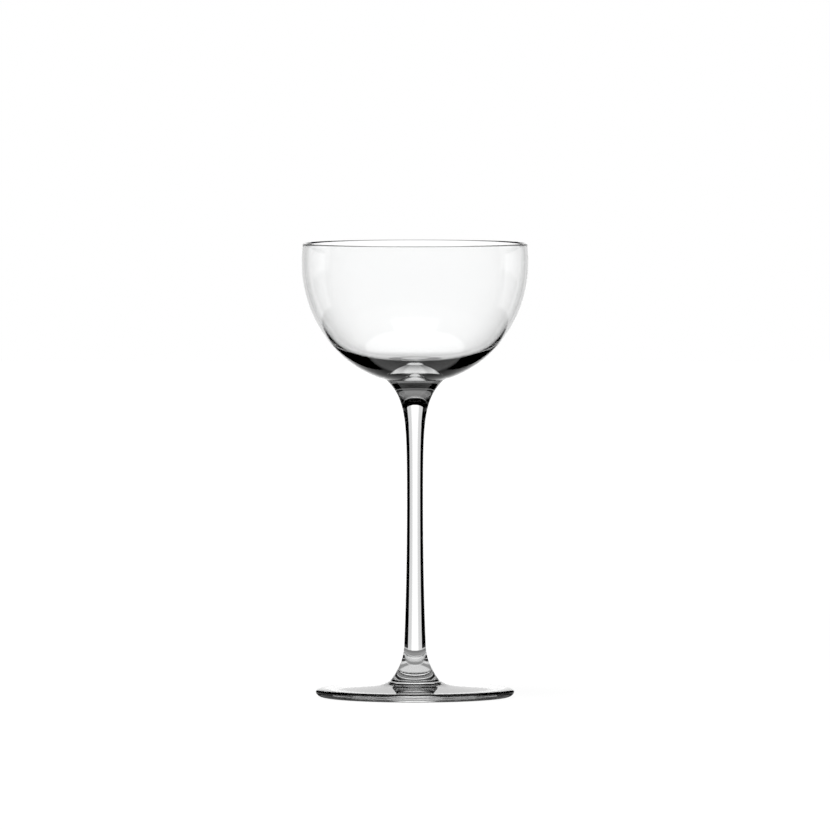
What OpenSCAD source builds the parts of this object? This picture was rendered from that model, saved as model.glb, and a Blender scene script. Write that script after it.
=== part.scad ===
// Small stemmed cocktail glass: a blown bowl, a drawn stem and a spun foot.
// Each piece is turned about the Z axis. The glass stands on Z = 0, with its axis on the origin.

/* [Bowl] */
// Outside diameter of the bowl at its widest ring
bowl_d = 80.2; // [70:0.1:95]
// Height of the rim above the widest ring
lip_h = 6.7; // [3:0.1:12]
// Depth of the outer curve below the widest ring, to where it would close
bowl_drop = 43.1; // [36:0.1:52]
// Thickness of the blown wall
wall_t = 1.4; // [0.9:0.05:2.2]
// Thickness of the heel under the middle of the bowl's floor
heel_t = 4.6; // [3:0.1:8]
// Rise of the floor from its middle to a quarter of the bowl's diameter out
floor_rise = 3.2; // [0:0.1:5]
// Height of the soft bend where the floor turns up into the wall
floor_bend_h = 6.0; // [3:0.1:10]

/* [Stem] */
// Length of the stem from the foot to the bowl
stem_l = 105.7; // [80:0.5:130]
// Diameter of the stem at its waist
stem_d = 5.6; // [4.5:0.1:8]
// Diameter of the stem where it is fused to the bowl
stem_top_d = 20.4; // [14:0.1:24]
// Diameter of the stem where it is fused to the foot
stem_foot_d = 16.6; // [13:0.1:22]
// Length over which the upper flare falls to about a third
stem_top_fade = 6.7; // [4:0.1:9]
// Height of the waist above the foot
stem_waist_h = 72.1; // [50:0.1:78]
// How much the slow taper below the waist adds to the radius
stem_swell = 1.6; // [0.5:0.1:2.5]
// Height of the quick flare at the stem's lower end
stem_foot_flare_h = 11.6; // [7:0.1:16]

/* [Foot] */
// Outside diameter of the foot
foot_d = 70.0; // [60:0.1:84]
// Height of the foot in the middle, where the stem is fused on
foot_h = 6.2; // [5:0.1:8]
// Height of the foot's upper face at its edge
foot_edge_h = 2.9; // [2.2:0.1:3.6]
// Rise of the upper face from the edge to the stem, before its fillet
foot_rise = 1.5; // [0.8:0.1:2.4]
// Length over which the fillet round the stem falls to about a third
foot_fillet_fade = 1.5; // [0.8:0.1:3]
// Width of the soft round at the top of the foot's edge
foot_edge_top_w = 2.2; // [0.6:0.1:3]
// Width of the soft round at the bottom of the foot's edge
foot_edge_low_w = 2.6; // [1:0.1:4]
// Height of the foot's widest line
foot_edge_mid_h = 1.9; // [0.8:0.1:2.2]
// Width of the flat ring that the foot rests on
foot_ring_w = 1.2; // [0.8:0.1:3]
// Depth of the hollow under the foot
foot_hollow_h = 1.0; // [0.3:0.1:1.4]

/* [Hidden] */
$fn = 96;

bowl_r = bowl_d / 2;
waist_r = stem_d / 2;
stem_top_r = stem_top_d / 2;
stem_foot_r = stem_foot_d / 2;
foot_r = foot_d / 2;

// The bowl is cut flat where its outer curve is as wide as the top of the stem
bowl_seat_drop = bowl_drop * sqrt(1 - pow(stem_top_r / bowl_r, 2));
stem_top_z = foot_h + stem_l;
bowl_mid_z = stem_top_z + bowl_seat_drop;

// Steps along each kind of curve
curve_steps = 40;
edge_steps = 10;

// How the stem's slow taper gathers towards the foot
swell_power = 2.5;

function ellipse_point(r, z, half_w, half_h, a) = [r + half_w * cos(a), z + half_h * sin(a)];

// A point of the bowl's outer curve at angle a below the widest ring
function bowl_outer(a) = ellipse_point(0, bowl_mid_z, bowl_r, bowl_drop, -a);

// The outward direction there
function unit(v) = v / norm(v);
function bowl_normal(a) = unit([cos(a) / bowl_r, -sin(a) / bowl_drop]);

// The floor of the bowl is a shallow dish on top of the heel
function floor_z(r) = bowl_mid_z - bowl_drop + heel_t + floor_rise * pow(r / (bowl_r / 2), 2);

// The higher of two heights, with a soft bend where they cross
function bend(a, b) = pow(max(0, 1 - abs(a - b) / floor_bend_h), 3) * floor_bend_h / 6;
function soft_max(a, b) = max(a, b) + bend(a, b);

// The inner curve follows the outer one at the wall's thickness, then bends into the floor
function even_wall(a) = bowl_outer(a) - wall_t * bowl_normal(a);
function bowl_inner(a) = let (p = even_wall(a)) [max(0, p[0]), soft_max(p[1], floor_z(p[0]))];

// Above the widest ring the same curve turns in to the fire-polished rim
rim_a = -asin((lip_h - wall_t / 2) / bowl_drop);
seat_a = acos(stem_top_r / bowl_r);
rim_mid = bowl_outer(rim_a) - wall_t / 2 * bowl_normal(rim_a);
rim_turn_a = atan2(bowl_normal(rim_a)[1], bowl_normal(rim_a)[0]);

module bowl() {
    outer = [for (i = [0 : curve_steps]) bowl_outer(seat_a + (rim_a - seat_a) * i / curve_steps)];
    rim = [for (i = [1 : edge_steps - 1])
        ellipse_point(rim_mid[0], rim_mid[1], wall_t / 2, wall_t / 2, rim_turn_a + 180 * i / edge_steps)];
    inner = [for (i = [0 : curve_steps - 1]) bowl_inner(rim_a + (90 - rim_a) * i / curve_steps)];
    bottom = [[0, bowl_inner(90)[1]], [0, stem_top_z]];
    color("aliceblue", 0.4)
        rotate_extrude() polygon(concat(outer, rim, inner, bottom));
}

// Radius of the stem at height h above the foot
function stem_swell_r(h) = stem_swell * pow(max(0, 1 - h / stem_waist_h), swell_power);
function stem_flare_r(h) =
    (stem_foot_r - waist_r - stem_swell) * pow(max(0, 1 - h / stem_foot_flare_h), 2);
function stem_top_flare_r(h) = (stem_top_r - waist_r) * exp((h - stem_l) / stem_top_fade);
function stem_radius(h) = waist_r + stem_swell_r(h) + stem_flare_r(h) + stem_top_flare_r(h);

// Heights along the stem, closer together at both flares
function stem_height(i) = stem_l * (1 - cos(180 * i / stem_steps)) / 2;
stem_steps = 72;

module stem() {
    side = [for (i = [0 : stem_steps]) [stem_radius(stem_height(i)), foot_h + stem_height(i)]];
    color("aliceblue", 0.4)
        rotate_extrude() polygon(concat([[0, foot_h]], side, [[0, stem_top_z]]));
}

// Height of the foot's upper face at radius r
face_r = foot_r - foot_edge_top_w;
fillet_h = foot_h - foot_edge_h - foot_rise;
function foot_face_z(r) = foot_edge_h + foot_rise * (face_r - r) / (face_r - stem_foot_r)
    + fillet_h * exp((stem_foot_r - r) / foot_fillet_fade);

ring_out_r = foot_r - foot_edge_low_w;
ring_in_r = ring_out_r - foot_ring_w;
// Height of the shallow hollow under the foot at radius r
function foot_hollow_z(r) = foot_hollow_h * (1 - pow(r / ring_in_r, 2));

module foot() {
    face = [for (i = [0 : curve_steps])
        let (r = stem_foot_r + (face_r - stem_foot_r) * pow(i / curve_steps, 2)) [r, foot_face_z(r)]];
    edge_top = [for (i = [1 : edge_steps]) ellipse_point(face_r, foot_edge_mid_h,
        foot_edge_top_w, foot_face_z(face_r) - foot_edge_mid_h, 90 - 90 * i / edge_steps)];
    edge_low = [for (i = [1 : edge_steps])
        ellipse_point(ring_out_r, foot_edge_mid_h, foot_edge_low_w, foot_edge_mid_h, -90 * i / edge_steps)];
    hollow = [for (i = [0 : curve_steps]) let (r = ring_in_r * (1 - i / curve_steps)) [r, foot_hollow_z(r)]];
    color("aliceblue", 0.4)
        rotate_extrude() polygon(concat([[0, foot_h]], face, edge_top, edge_low, hollow));
}

bowl();
stem();
foot();
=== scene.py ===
import math
import bpy
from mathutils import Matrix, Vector


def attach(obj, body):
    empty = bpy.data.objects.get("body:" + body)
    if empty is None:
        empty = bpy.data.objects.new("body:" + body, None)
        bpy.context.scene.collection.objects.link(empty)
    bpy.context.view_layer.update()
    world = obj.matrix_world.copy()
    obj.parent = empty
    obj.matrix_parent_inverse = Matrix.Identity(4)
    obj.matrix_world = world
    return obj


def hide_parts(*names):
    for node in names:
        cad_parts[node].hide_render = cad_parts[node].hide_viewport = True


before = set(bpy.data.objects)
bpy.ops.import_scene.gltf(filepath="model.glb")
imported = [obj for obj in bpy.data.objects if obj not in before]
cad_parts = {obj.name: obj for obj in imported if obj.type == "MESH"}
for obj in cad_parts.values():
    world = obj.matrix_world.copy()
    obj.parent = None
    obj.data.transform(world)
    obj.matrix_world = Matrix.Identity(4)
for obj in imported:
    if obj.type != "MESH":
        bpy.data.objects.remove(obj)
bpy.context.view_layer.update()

# The bowl: a wide, nearly half-round cup of clear lead-free crystal, blown in a turning mould.
# Its even wall bends softly into a dished floor above a solid heel, and the heel is
# fused hot onto the top of the stem. The rim is cut and fire-polished to a half-round.


class Measure:
    """A length, angle or share inside a node tree; adding or multiplying measures adds the tree's own maths nodes."""

    def __init__(self, tree, socket):
        self.tree, self.socket = tree, socket

    def work(self, kind, *others, first=None):
        node = self.tree.nodes.new("ShaderNodeMath")
        node.operation = kind
        parts = (self, *others) if first is None else (first, self)
        for place, part in enumerate(parts):
            if isinstance(part, Measure):
                self.tree.links.new(part.socket, node.inputs[place])
            else:
                node.inputs[place].default_value = part
        return Measure(self.tree, node.outputs[0])

    def __add__(self, other): return self.work("ADD", other)
    def __radd__(self, other): return self.work("ADD", other)
    def __sub__(self, other): return self.work("SUBTRACT", other)
    def __rsub__(self, other): return self.work("SUBTRACT", first=other)
    def __mul__(self, other): return self.work("MULTIPLY", other)
    def __rmul__(self, other): return self.work("MULTIPLY", other)
    def __truediv__(self, other): return self.work("DIVIDE", other)
    def __pow__(self, other): return self.work("POWER", other)
    def cos(self): return self.work("COSINE")
    def sin(self): return self.work("SINE")
    def root(self): return self.work("SQRT")
    def exp(self): return self.work("EXPONENT")
    def at_least(self, low): return self.work("MAXIMUM", low)


def turning_tree(name, sizes):
    """A node tree with one named input for each size; gives the tree and its sizes as measures."""
    tree = bpy.data.node_groups.new(name, "GeometryNodeTree")
    tree.interface.new_socket("Blank", in_out="INPUT", socket_type="NodeSocketGeometry")
    for label, value in sizes.items():
        size = tree.interface.new_socket(label, in_out="INPUT", socket_type="NodeSocketFloat")
        size.default_value = value
    tree.interface.new_socket("Glass", in_out="OUTPUT", socket_type="NodeSocketGeometry")
    given = tree.nodes.new("NodeGroupInput")
    return tree, {label: Measure(tree, given.outputs[label]) for label in sizes}


def turned_skin(tree, rings, round_steps, outline):
    """One stretch of the glass's skin, swept round the upright axis.

    outline gives the radius and height at a share along the stretch.
    """
    grid = tree.nodes.new("GeometryNodeMeshGrid")
    for label, value in (("Size X", 1), ("Size Y", 1), ("Vertices X", rings), ("Vertices Y", round_steps + 1)):
        grid.inputs[label].default_value = value
    apart = tree.nodes.new("ShaderNodeSeparateXYZ")
    tree.links.new(grid.outputs["UV Map"], apart.inputs[0])
    radius, height = outline(Measure(tree, apart.outputs[0]))
    turn = Measure(tree, apart.outputs[1]) * (-2 * math.pi)
    point = tree.nodes.new("ShaderNodeCombineXYZ")
    for place, part in enumerate((radius * turn.cos(), radius * turn.sin(), height)):
        tree.links.new(part.socket, point.inputs[place])
    move = tree.nodes.new("GeometryNodeSetPosition")
    tree.links.new(grid.outputs["Mesh"], move.inputs["Geometry"])
    tree.links.new(point.outputs[0], move.inputs["Position"])
    return move.outputs[0]


def finish_tree(tree, skins, clear, fused, joint_heights):
    """Joins the skins into one closed shell and gives its outside the clear glass and its joint faces the fused one."""
    weld_gap, flat_gap, crease_angle = 0.000002, 0.0000005, math.radians(35)
    join = tree.nodes.new("GeometryNodeJoinGeometry")
    for skin in skins:
        tree.links.new(skin, join.inputs[0])
    merge = tree.nodes.new("GeometryNodeMergeByDistance")
    merge.inputs["Distance"].default_value = weld_gap
    tree.links.new(join.outputs[0], merge.inputs["Geometry"])
    smooth = tree.nodes.new("GeometryNodeSetShadeSmooth")
    tree.links.new(merge.outputs[0], smooth.inputs["Geometry"])
    bend = tree.nodes.new("GeometryNodeInputMeshEdgeAngle")
    crease = Measure(tree, bend.outputs[0]).work("GREATER_THAN", crease_angle)
    sharp = tree.nodes.new("GeometryNodeStoreNamedAttribute")
    sharp.data_type, sharp.domain = "BOOLEAN", "EDGE"
    sharp.inputs["Name"].default_value = "sharp_edge"
    tree.links.new(smooth.outputs[0], sharp.inputs["Geometry"])
    tree.links.new(crease.socket, sharp.inputs["Value"])
    real = tree.nodes.new("GeometryNodeRealizeInstances")
    tree.links.new(sharp.outputs[0], real.inputs[0])
    coat = tree.nodes.new("GeometryNodeSetMaterial")
    coat.inputs["Material"].default_value = clear
    tree.links.new(real.outputs[0], coat.inputs["Geometry"])
    where = tree.nodes.new("ShaderNodeSeparateXYZ")
    tree.links.new(tree.nodes.new("GeometryNodeInputPosition").outputs[0], where.inputs[0])
    shell = coat.outputs[0]
    for height in joint_heights:
        gap = (Measure(tree, where.outputs[2]) - height).work("ABSOLUTE")
        flat = gap.work("LESS_THAN", flat_gap)
        coat = tree.nodes.new("GeometryNodeSetMaterial")
        coat.inputs["Material"].default_value = fused
        tree.links.new(shell, coat.inputs["Geometry"])
        tree.links.new(flat.socket, coat.inputs["Selection"])
        shell = coat.outputs[0]
    out = tree.nodes.new("NodeGroupOutput")
    tree.links.new(shell, out.inputs[0])


def turned_piece(name, tree, sizes):
    """Runs the tree with these sizes and leaves its result as a plain mesh."""
    blank = bpy.data.objects.new(name + "_blank", bpy.data.meshes.new(name + "_blank"))
    bpy.context.scene.collection.objects.link(blank)
    turning = blank.modifiers.new("turning", "NODES")
    turning.node_group = tree
    for item in tree.interface.items_tree:
        if item.in_out == "INPUT" and item.name in sizes:
            turning[item.identifier] = sizes[item.name]
    blank.update_tag()
    shape = blank.evaluated_get(bpy.context.evaluated_depsgraph_get())
    mesh = bpy.data.meshes.new_from_object(shape)
    blank.modifiers.remove(turning)
    bpy.data.objects.remove(blank)
    mesh.name = name
    piece = bpy.data.objects.new(name, mesh)
    bpy.context.scene.collection.objects.link(piece)
    return piece


def clear_glass(name, ripple, ripple_size):
    """Colourless glass with the faint waves that hot work leaves in its skin."""
    glass = bpy.data.materials.new(name)
    glass.use_nodes = True
    tree = glass.node_tree
    shader = tree.nodes["Principled BSDF"]
    shader.inputs["Base Color"].default_value = (0.995, 0.998, 0.998, 1)
    shader.inputs["Roughness"].default_value = 0
    shader.inputs["IOR"].default_value = 1.52
    shader.inputs["Transmission Weight"].default_value = 1
    place = tree.nodes.new("ShaderNodeTexCoord")
    waves = tree.nodes.new("ShaderNodeTexNoise")
    waves.inputs["Scale"].default_value = 1 / ripple_size
    waves.inputs["Detail"].default_value = 1.5
    bump = tree.nodes.new("ShaderNodeBump")
    bump.inputs["Strength"].default_value = 1
    bump.inputs["Distance"].default_value = ripple
    tree.links.new(place.outputs["Object"], waves.inputs["Vector"])
    tree.links.new(waves.outputs["Fac"], bump.inputs["Height"])
    tree.links.new(bump.outputs["Normal"], shader.inputs["Normal"])
    return glass


blown_glass = clear_glass("blown_glass", 0.000002, 0.012)

fused_joint = bpy.data.materials.new("fused_joint")
fused_joint.use_nodes = True
joint_nodes = fused_joint.node_tree
joint_nodes.nodes.clear()
joint_pass = joint_nodes.nodes.new("ShaderNodeBsdfTransparent")
joint_end = joint_nodes.nodes.new("ShaderNodeOutputMaterial")
joint_nodes.links.new(joint_pass.outputs[0], joint_end.inputs[0])

ROUND_STEPS = 256
foot_top = 0.0062
stem_length = 0.1057
seat_height = foot_top + stem_length
stem_top_radius = 0.0102

bowl_sizes = {"Widest Radius": 0.0401, "Rim Above Widest": 0.0067, "Depth Of Curve": 0.0431, "Wall": 0.0014,
              "Heel": 0.0046, "Floor Rise": 0.0032, "Floor Bend": 0.006,
              "Seat Radius": stem_top_radius, "Seat Height": seat_height}
bowl_tree, size = turning_tree("bowl_turning", bowl_sizes)
widest, drop, wall = size["Widest Radius"], size["Depth Of Curve"], size["Wall"]
middle = size["Seat Height"] + drop * (1 - (size["Seat Radius"] / widest) ** 2).root()
rim_angle = ((size["Rim Above Widest"] - wall / 2) / drop).work("ARCSINE") * -1
seat_angle = (size["Seat Radius"] / widest).work("ARCCOSINE")


def bowl_normal(angle):
    """The outward direction of the outer curve, as its sideways and upward shares."""
    side, up = angle.cos() / widest, angle.sin() / drop * -1
    length = (side * side + up * up).root()
    return side / length, up / length


def bowl_wall(angle, depth):
    """A point that lies depth inside the outer curve."""
    side, up = bowl_normal(angle)
    return widest * angle.cos() - depth * side, middle - drop * angle.sin() - depth * up


def bowl_outside(share):
    return bowl_wall(seat_angle + (rim_angle - seat_angle) * share, 0.0 * share)


def bowl_inside(share):
    """Down the wall's inside, round the soft bend and in over the dished floor."""
    radius, height = bowl_wall(rim_angle + (math.pi / 2 - rim_angle) * share, wall)
    floor = middle - drop + size["Heel"] + size["Floor Rise"] * (radius / (widest / 2)) ** 2
    return radius.at_least(0), height.work("SMOOTH_MAX", floor, size["Floor Bend"])


def bowl_rim(share):
    side, up = bowl_normal(rim_angle)
    radius, height = bowl_wall(rim_angle, wall / 2)
    turn = up.work("ARCTAN2", side) + share * math.pi
    return radius + wall / 2 * turn.cos(), height + wall / 2 * turn.sin()


def bowl_seat(share):
    return size["Seat Radius"] * share, size["Seat Height"] + 0.0 * share


bowl_skins = [turned_skin(bowl_tree, 6, ROUND_STEPS, bowl_seat), turned_skin(bowl_tree, 90, ROUND_STEPS, bowl_outside),
              turned_skin(bowl_tree, 13, ROUND_STEPS, bowl_rim), turned_skin(bowl_tree, 110, ROUND_STEPS, bowl_inside)]
finish_tree(bowl_tree, bowl_skins, blown_glass, fused_joint, [seat_height])
bowl = turned_piece("blown_bowl", bowl_tree, bowl_sizes)
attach(bowl, "root")
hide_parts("bowl")

# The stem: a solid rod of the same clear glass, drawn out by hand from a hot gather.
# Drawing leaves it thinnest two thirds of the way up, with a slow taper to the foot
# and a short flare at each end, where it is fused to the bowl and to the foot.
stem_sizes = {"Length": stem_length, "Bottom Height": foot_top, "Waist Radius": 0.0028, "Top Radius": stem_top_radius,
              "Foot Radius": 0.0083, "Top Fade": 0.0067, "Waist Height": 0.0721, "Swell": 0.0016, "Foot Flare": 0.0116}
drawn_glass = clear_glass("drawn_glass", 0.000001, 0.006)
stem_tree, size = turning_tree("stem_drawing", stem_sizes)
stem_rod = dict(size)


def stem_side(share):
    """The rod's side, with its rings closer together at both flares."""
    height = stem_rod["Length"] * (1 - (share * math.pi).cos()) / 2
    taper = stem_rod["Swell"] * (1 - height / stem_rod["Waist Height"]).at_least(0) ** 2.5
    low_spread = stem_rod["Foot Radius"] - stem_rod["Waist Radius"] - stem_rod["Swell"]
    low_flare = low_spread * (1 - height / stem_rod["Foot Flare"]).at_least(0) ** 2
    top_spread = stem_rod["Top Radius"] - stem_rod["Waist Radius"]
    top_flare = top_spread * ((height - stem_rod["Length"]) / stem_rod["Top Fade"]).exp()
    return stem_rod["Waist Radius"] + taper + low_flare + top_flare, stem_rod["Bottom Height"] + height


def stem_bottom(share):
    return stem_rod["Foot Radius"] * share, stem_rod["Bottom Height"] + 0.0 * share


def stem_top(share):
    return stem_rod["Top Radius"] * (1 - share), stem_rod["Bottom Height"] + stem_rod["Length"] + 0.0 * share


stem_skins = [turned_skin(stem_tree, 6, ROUND_STEPS, stem_bottom), turned_skin(stem_tree, 200, ROUND_STEPS, stem_side),
              turned_skin(stem_tree, 6, ROUND_STEPS, stem_top)]
finish_tree(stem_tree, stem_skins, drawn_glass, fused_joint, [foot_top, seat_height])
stem = turned_piece("drawn_stem", stem_tree, stem_sizes)
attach(stem, "root")
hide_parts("stem")

# The foot: a gather of clear glass spun out flat into a disc, then fire-polished at its edge.
# Its face rises gently to a small fillet round the stem. Underneath it is slightly hollow,
# so that it stands on a narrow flat ring near the edge.
foot_sizes = {"Radius": 0.035, "Middle Height": foot_top, "Edge Height": 0.0029, "Rise": 0.0015, "Fillet Fade": 0.0015,
              "Edge Top Round": 0.0022, "Edge Low Round": 0.0026, "Widest Height": 0.0019, "Ring Width": 0.0012,
              "Hollow": 0.001, "Stem Radius": 0.0083}
spun_glass = clear_glass("spun_glass", 0.000001, 0.009)
foot_tree, size = turning_tree("foot_spinning", foot_sizes)
disc = dict(size)
face_end = disc["Radius"] - disc["Edge Top Round"]
ring_outer = disc["Radius"] - disc["Edge Low Round"]
ring_inner = ring_outer - disc["Ring Width"]


def foot_face(share):
    """The upper face, from the stem out to the edge, with its rings closer together at the fillet."""
    radius = disc["Stem Radius"] + (face_end - disc["Stem Radius"]) * share * share
    slope = disc["Rise"] * (face_end - radius) / (face_end - disc["Stem Radius"])
    fillet = disc["Middle Height"] - disc["Edge Height"] - disc["Rise"]
    return radius, disc["Edge Height"] + slope + fillet * ((disc["Stem Radius"] - radius) / disc["Fillet Fade"]).exp()


def foot_edge_top(share):
    turn = (1 - share) * (math.pi / 2)
    face_height = foot_face(1 + 0.0 * share)[1]
    return (face_end + disc["Edge Top Round"] * turn.cos(),
            disc["Widest Height"] + (face_height - disc["Widest Height"]) * turn.sin())


def foot_edge_low(share):
    turn = share * (math.pi / 2)
    return ring_outer + disc["Edge Low Round"] * turn.cos(), disc["Widest Height"] * (1 - turn.sin())


def foot_ring(share):
    return ring_outer - disc["Ring Width"] * share, 0.0 * share


def foot_hollow(share):
    radius = ring_inner * (1 - share)
    return radius, disc["Hollow"] * (1 - (radius / ring_inner) ** 2)


def foot_seat(share):
    return disc["Stem Radius"] * share, disc["Middle Height"] + 0.0 * share


foot_skins = [turned_skin(foot_tree, rings, ROUND_STEPS, outline) for rings, outline in (
    (60, foot_hollow), (3, foot_ring), (17, foot_edge_low), (17, foot_edge_top), (90, foot_face), (6, foot_seat))]
finish_tree(foot_tree, foot_skins, spun_glass, fused_joint, [foot_top])
foot = turned_piece("spun_foot", foot_tree, foot_sizes)
foot.data.flip_normals()
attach(foot, "root")
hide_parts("foot")

# The camera: a long lens four and a half metres away, a little above the rim, so that the rim and the foot
# show as thin ellipses and the stem stays upright.
camera_data = bpy.data.cameras.new("camera")
camera = bpy.data.objects.new("camera", camera_data)
bpy.context.scene.collection.objects.link(camera)
camera_back, camera_height, aim_height = 4.65, 0.3023, 0.0995
picture_width, pixels_per_metre = 830, 2835
camera.location = (0, -camera_back, camera_height)
aim = Vector((0, 0, aim_height)) - camera.location
camera.rotation_euler = aim.to_track_quat("-Z", "Y").to_euler()
camera_data.sensor_width = 36
camera_data.lens = pixels_per_metre * aim.length / picture_width * camera_data.sensor_width
camera_data.clip_end = 60
bpy.context.scene.camera = camera

# The studio: a pale table, a glowing white sweep with a bright middle and dim low wings, a low black flag on each
# side and a dim grey ceiling, which is how clear glass is shown with dark edges. In the glass the table shows a painted
# reflection of the sweep and painted shade round the foot, not a real gloss. The set stands on a turntable that
# faces the camera, so its light turns with the camera. Its angles and greys were tuned by trial, not measured.
turntable = bpy.data.objects.new("set_turntable", None)
bpy.context.scene.collection.objects.link(turntable)
facing = turntable.constraints.new("LOCKED_TRACK")
facing.target = camera
facing.track_axis = "TRACK_NEGATIVE_Y"
facing.lock_axis = "LOCK_Z"


def set_piece(name, corners, faces, material):
    mesh = bpy.data.meshes.new(name)
    mesh.from_pydata(corners, [], faces)
    mesh.materials.append(material)
    panel = bpy.data.objects.new(name, mesh)
    bpy.context.scene.collection.objects.link(panel)
    panel.parent = turntable
    return panel


def curved_screen(name, reach, first, last, low, high, material):
    """An upright screen at this distance, between two angles in degrees from straight behind the glass."""
    steps, corners = 24, []
    for step in range(steps + 1):
        turn = math.radians(first + (last - first) * step / steps)
        across, back = reach * math.sin(turn), reach * math.cos(turn)
        corners += [(across, back, low), (across, back, high)]
    faces = [(2 * step, 2 * step + 1, 2 * step + 3, 2 * step + 2) for step in range(steps)]
    return set_piece(name, corners, faces, material)


def plain_surface(name):
    """A material cleared down to its output, with the rays that reach it."""
    material = bpy.data.materials.new(name)
    material.use_nodes = True
    tree = material.node_tree
    tree.nodes.clear()
    return material, tree, tree.nodes.new("ShaderNodeOutputMaterial"), tree.nodes.new("ShaderNodeLightPath")


def glow(tree, strength):
    lit = tree.nodes.new("ShaderNodeEmission")
    if isinstance(strength, Measure):
        tree.links.new(strength.socket, lit.inputs["Strength"])
    else:
        lit.inputs["Strength"].default_value = strength
    return lit.outputs[0]


def mixed(tree, share, first, second):
    mix = tree.nodes.new("ShaderNodeMixShader")
    if isinstance(share, (int, float)):
        mix.inputs[0].default_value = share
    else:
        tree.links.new(share, mix.inputs[0])
    tree.links.new(first, mix.inputs[1])
    tree.links.new(second, mix.inputs[2])
    return mix.outputs[0]


def soft_step(value, edge, softness):
    """0 below the edge and 1 above it, with a straight rise this wide between."""
    return ((value - (edge - softness / 2)) / softness).at_least(0).work("MINIMUM", 1)


def place_on_set(tree):
    """How far across and back on the set a point lies, and its angle from straight behind the glass."""
    here = tree.nodes.new("ShaderNodeTexCoord")
    apart = tree.nodes.new("ShaderNodeSeparateXYZ")
    tree.links.new(here.outputs["Object"], apart.inputs[0])
    across, back = Measure(tree, apart.outputs[0]), Measure(tree, apart.outputs[1])
    return across, back, across.work("ABSOLUTE").work("ARCTAN2", back)


sweep_end, wing_end = 29, 75
bright_middle, plain_sides, dim_wings = 1.15, 0.73, 0.55


def sweep_light(turn):
    """How bright the sweep and its wings are at this angle."""
    edge = math.radians(1)
    middle = 1 - soft_step(turn, math.radians(12.5), math.radians(5))
    sides = plain_sides + (bright_middle - plain_sides) * middle
    wings = sides - (plain_sides - dim_wings) * soft_step(turn, math.radians(sweep_end), edge)
    return wings * (1 - soft_step(turn, math.radians(wing_end), edge))


sweep_white, tree, out, rays = plain_surface("sweep_white")
sweep_glow = glow(tree, sweep_light(place_on_set(tree)[2]))
tree.links.new(mixed(tree, rays.outputs["Is Camera Ray"], sweep_glow, glow(tree, 1.0)), out.inputs[0])
set_radius, sweep_bottom, sweep_top, wing_top = 3, -0.02, 1.07, 0.33
for name, first, last, top in (("sweep", -sweep_end, sweep_end, sweep_top),
                               ("left_wing", -wing_end - 1, -sweep_end, wing_top),
                               ("right_wing", sweep_end, wing_end + 1, wing_top)):
    curved_screen(name, set_radius, first, last, sweep_bottom, top, sweep_white)


def only_in_the_glass(panel):
    """Hides the panel from all but the rays that the glass bends or mirrors."""
    panel.visible_camera = False
    panel.visible_diffuse = False
    panel.visible_shadow = False


flag_black, tree, out, rays = plain_surface("flag_black")
tree.links.new(glow(tree, 0.0), out.inputs[0])
flag_reach, flag_top = 0.1, 0.105
for name, first, last in (("left_flag", sweep_end - 180, -sweep_end), ("right_flag", sweep_end, 180 - sweep_end)):
    only_in_the_glass(curved_screen(name, flag_reach, first, last, 0, flag_top, flag_black))

table_top, tree, out, rays = plain_surface("table_top")
across, back, turn = place_on_set(tree)
away = (across * across + back * back).root()
lean = tree.nodes.new("ShaderNodeLayerWeight")
lean.inputs["Blend"].default_value = 0.5
upward = 1 - Measure(tree, lean.outputs["Facing"])


def steeper_than(angle, softness):
    """1 for light that leaves the table above this angle in degrees, 0 below it."""
    return soft_step(upward, math.sin(math.radians(angle)), softness)


# A painted reflection stands in for gloss, in three steps: the sweep's light copied at low angles, a painted grey
# higher up, and painted light again from above.
steep, steeper, from_above = steeper_than(16, 0.05), steeper_than(34, 0.1), steeper_than(50, 0.06)
close_edge, open_edge, foot_edge = 0.079, 0.35, 0.03
steep_painted_grey, behind_painted_shade, above_painted_light, under_foot_painted_lift, darkest_painted_share = 0.3, 0.2, 0.7, 0.5, 0.15
beyond = soft_step(away, close_edge, 0.004)
under_foot = 1 - soft_step(away, foot_edge, 0.001)
# Painted shade round the foot: close to the glass the table is black in front and dim behind at low angles, a painted
# grey at steep angles, and lighter under the foot.
close_low = behind_painted_shade * soft_step(back, 0, 0.01) * (1 - under_foot) + steep_painted_grey * under_foot
close_steep = steep_painted_grey + under_foot_painted_lift * under_foot * (1 - steeper)
close = close_low * (1 - steep) + close_steep * steep
# At steep angles the painted shade fades out between the close and the open edge.
opened = soft_step(away, (close_edge + open_edge) / 2, open_edge - close_edge)
opening = darkest_painted_share + (1 - darkest_painted_share) * opened
# Farther out the table shows the sweep's own brightness, a painted reflection of it.
far_off = sweep_light(turn) * (1 - steep * (1 - opening))
seen_low = far_off * beyond + close * (1 - beyond)
# Rays that reach the table steeply from above see painted light.
painted_glass_view = glow(tree, seen_low * (1 - from_above) + above_painted_light * from_above)

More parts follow.
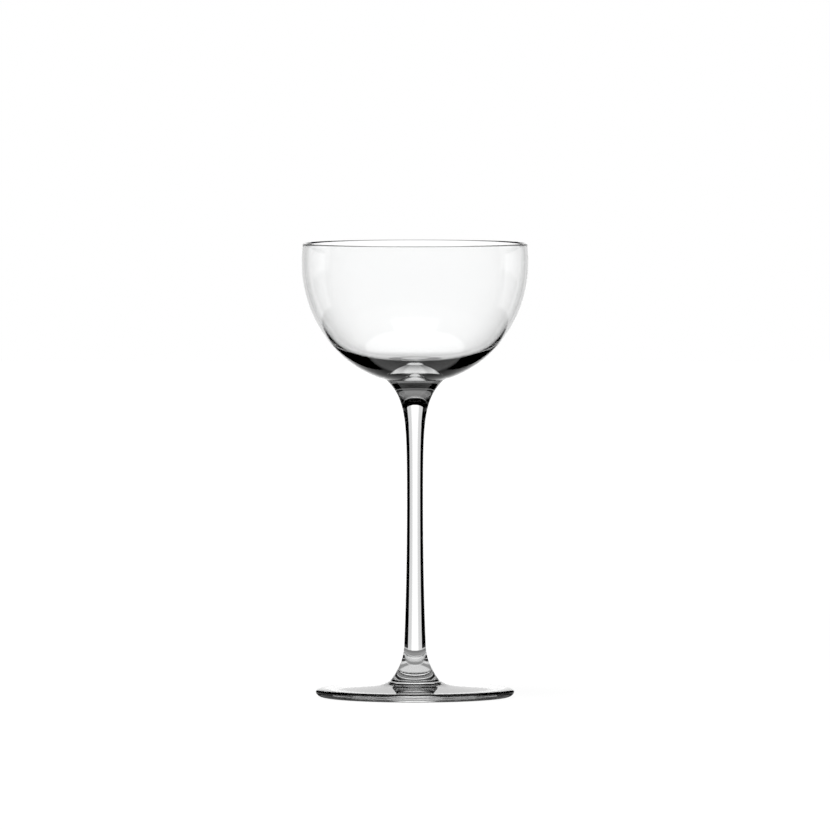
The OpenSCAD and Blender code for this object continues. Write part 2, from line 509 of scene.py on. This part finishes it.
# The camera sees the table as plain white, with the glass's faint shadow on the laminate.
laminate = tree.nodes.new("ShaderNodeBsdfDiffuse")
laminate.inputs["Color"].default_value = (0.85, 0.85, 0.85, 1)
laminate_share, near_white, far_lift, lift_middle, lift_width = 0.15, 1.13, 0.05, 0.7, 0.6
plain_white = glow(tree, near_white + far_lift * soft_step(away, lift_middle, lift_width))
seen_plain = mixed(tree, laminate_share, plain_white, laminate.outputs[0])
bent = Measure(tree, rays.outputs["Is Transmission Ray"]).work("MAXIMUM", Measure(tree, rays.outputs["Is Glossy Ray"]))
other = mixed(tree, bent.socket, laminate.outputs[0], painted_glass_view)
tree.links.new(mixed(tree, rays.outputs["Is Camera Ray"], other, seen_plain), out.inputs[0])


def round_panel(name, height, material):
    sides = 96
    turns = [2 * math.pi * side / sides for side in range(sides)]
    corners = [(set_radius * math.cos(turn), set_radius * math.sin(turn), height) for turn in turns]
    return set_piece(name, corners, [tuple(range(sides))], material)


table_height, ceiling_height = -0.0002, 2.6
round_panel("table", table_height, table_top)

ceiling_grey, tree, out, rays = plain_surface("ceiling_grey")
tree.links.new(glow(tree, 0.2), out.inputs[0])
only_in_the_glass(round_panel("ceiling", ceiling_height, ceiling_grey))

# A wide soft lamp high above casts the faint shadow. The glass doesn't mirror it.
overhead = bpy.data.lights.new("overhead", "AREA")
overhead.shape = "DISK"
overhead.size = 1.2
overhead.energy = 30
lamp = bpy.data.objects.new("overhead", overhead)
lamp.location = (-0.3, -0.4, 2.2)
lamp.rotation_euler = (Vector((0, 0, 0)) - lamp.location).to_track_quat("-Z", "Y").to_euler()
lamp.visible_glossy = False
lamp.visible_transmission = False
bpy.context.scene.collection.objects.link(lamp)

world = bpy.data.worlds.new("studio")
bpy.context.scene.world = world
world.use_nodes = True
tree = world.node_tree
tree.nodes.clear()
out = tree.nodes.new("ShaderNodeOutputWorld")
rays = tree.nodes.new("ShaderNodeLightPath")
white, dark = tree.nodes.new("ShaderNodeBackground"), tree.nodes.new("ShaderNodeBackground")
white.inputs[0].default_value = (1, 1, 1, 1)
dark.inputs[0].default_value = (0, 0, 0, 1)
tree.links.new(mixed(tree, rays.outputs["Is Camera Ray"], dark.outputs[0], white.outputs[0]), out.inputs[0])

bpy.context.scene.view_settings.view_transform = "Standard"
